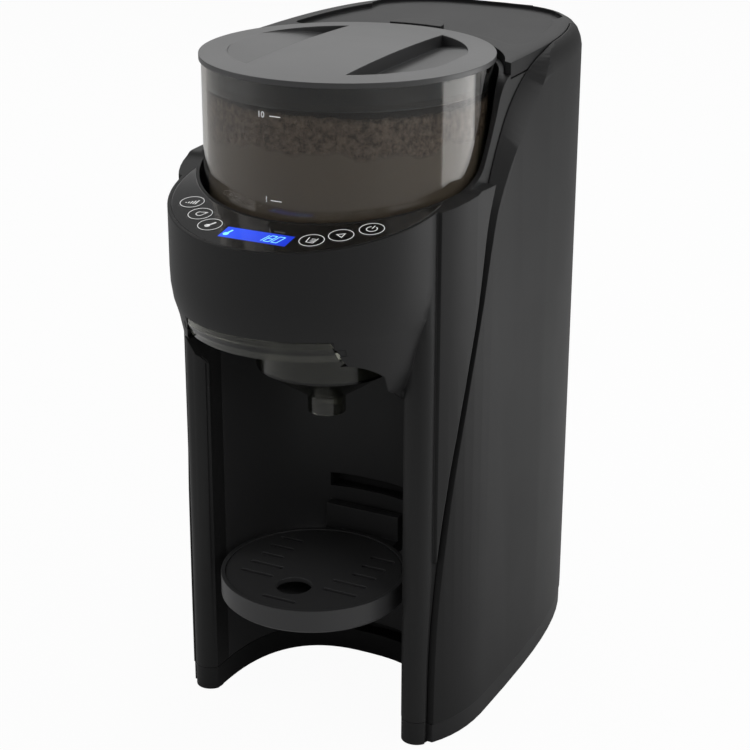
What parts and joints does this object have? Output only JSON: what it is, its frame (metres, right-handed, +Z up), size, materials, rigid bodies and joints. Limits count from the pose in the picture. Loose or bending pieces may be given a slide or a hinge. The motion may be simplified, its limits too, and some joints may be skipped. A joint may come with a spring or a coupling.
{
  "type": "baby formula maker",
  "caption": "Counter-top baby formula maker: clear powder container over a dispensing head, bottle bay with hanging stand, pull-out funnel and water tank at the back.",
  "frame": {"origin": "middle of the footprint, on the table", "axes": "+Z up, the bottle bay and control panel face -Y, +X to the right as seen from the front"},
  "size_m": [0.1708, 0.2941, 0.3601],
  "materials": {
    "housing_black": "satin moulded, fine grain",
    "shell_black": "satin moulded, fine grain",
    "base_black": "satin",
    "liner_black": "satin",
    "panel_black": "gloss",
    "display_blue": "lit",
    "motor_grey": "cast",
    "steel": "plain",
    "pump_grey": "plain",
    "board_green": "plain",
    "foot_rubber": "plain",
    "container_clear": "clear smoke grey plastic",
    "lid_black": "satin gloss",
    "seal_blue": "translucent blue grey",
    "dispenser_white": "plain",
    "funnel_smoke": "translucent olive grey",
    "stand_black": "satin",
    "tank_smoke": "dark smoke",
    "button_black": "gloss with silver ring"
  },
  "bodies": {
    "housing": {"front_legs": "housing_black", "bay_wall": "housing_black", "head_housing": "housing_black", "rear_shell": "shell_black", "base_ring": "base_black", "bay_liner": "liner_black", "inner_frame": "base_black", "control_panel": "panel_black", "display": "display_blue", "drive_motor": "motor_grey", "water_nozzle": "steel", "water_pump": "pump_grey", "water_heater": "steel", "circuit_board": "board_green", "tank_dock": "base_black", "power_inlet": "base_black", "feet": "foot_rubber", "base_screws": "steel"},
    "drive": {"drive_coupling": "steel"},
    "container": {"powder_container": "container_clear"},
    "lid": {"powder_lid": "lid_black", "lid_seal": "seal_blue"},
    "dispenser": {"dispensing_wheel": "dispenser_white", "stirrer": "dispenser_white"},
    "drawer": {"funnel": "funnel_smoke", "funnel_cover": "funnel_smoke"},
    "stand": {"bottle_stand": "stand_black"},
    "grille": {"stand_grille": "stand_black"},
    "tank": {"water_tank": "tank_smoke", "tank_collar": "shell_black", "tank_hinge_pin": "steel"},
    "tank_cover": {"tank_lid": "lid_black"},
    "valve": {"tank_valve": "steel"},
    "key_strength": {"button_strength": "button_black"},
    "key_water": {"button_water": "button_black"},
    "key_heat": {"button_heat": "button_black"},
    "key_volume": {"button_volume": "button_black"},
    "key_start": {"button_start": "button_black"},
    "key_power": {"button_power": "button_black"}
  },
  "joints": [
    {"name": "container_lift", "type": "slide", "parent": "housing", "child": "container", "axis": [0, 0, 1], "range_m": [0, 0.1]},
    {"name": "lid_lift", "type": "slide", "parent": "container", "child": "lid", "axis": [0, 0, 1], "range_m": [0, 0.04]},
    {"name": "dispenser_spin", "type": "hinge", "parent": "container", "child": "dispenser", "pos_m": [0, -0.03685, 0.27], "axis": [0, 0, 1], "continuous": true},
    {"name": "drive_spin", "type": "hinge", "parent": "housing", "child": "drive", "pos_m": [0, -0.03685, 0.27], "axis": [0, 0, 1], "continuous": true},
    {"name": "drawer_pull", "type": "slide", "parent": "housing", "child": "drawer", "axis": [0, -1, 0], "range_m": [0, 0.08]},
    {"name": "stand_pull", "type": "slide", "parent": "housing", "child": "stand", "axis": [0, -1, 0], "range_m": [0, 0.06]},
    {"name": "grille_lift", "type": "slide", "parent": "stand", "child": "grille", "axis": [0, 0, 1], "range_m": [0, 0.03]},
    {"name": "tank_lift", "type": "slide", "parent": "housing", "child": "tank", "axis": [0, 0, 1], "range_m": [0, 0.12]},
    {"name": "tank_lid_open", "type": "hinge", "parent": "tank", "child": "tank_cover", "pos_m": [0, 0.14115, 0.3503], "axis": [-1, 0, 0], "range_deg": [0, 95]},
    {"name": "valve_lift", "type": "slide", "parent": "tank", "child": "valve", "axis": [0, 0, 1], "range_m": [0, 0.003], "stiffness_N_per_m": 150},
    {"name": "press_strength", "type": "slide", "parent": "housing", "child": "key_strength", "axis": [0, 0.1736, -0.9848], "range_m": [0, 0.0007], "stiffness_N_per_m": 300},
    {"name": "press_water", "type": "slide", "parent": "housing", "child": "key_water", "axis": [0, 0.1736, -0.9848], "range_m": [0, 0.0007], "stiffness_N_per_m": 300},
    {"name": "press_heat", "type": "slide", "parent": "housing", "child": "key_heat", "axis": [0, 0.1736, -0.9848], "range_m": [0, 0.0007], "stiffness_N_per_m": 300},
    {"name": "press_volume", "type": "slide", "parent": "housing", "child": "key_volume", "axis": [0, 0.1736, -0.9848], "range_m": [0, 0.0007], "stiffness_N_per_m": 300},
    {"name": "press_start", "type": "slide", "parent": "housing", "child": "key_start", "axis": [0, 0.1736, -0.9848], "range_m": [0, 0.0007], "stiffness_N_per_m": 300},
    {"name": "press_power", "type": "slide", "parent": "housing", "child": "key_power", "axis": [0, 0.1736, -0.9848], "range_m": [0, 0.0007], "stiffness_N_per_m": 300}
  ],
  "couplings": [
    {"joint": "drive_spin", "follows": "dispenser_spin", "ratio": 1}
  ]
}
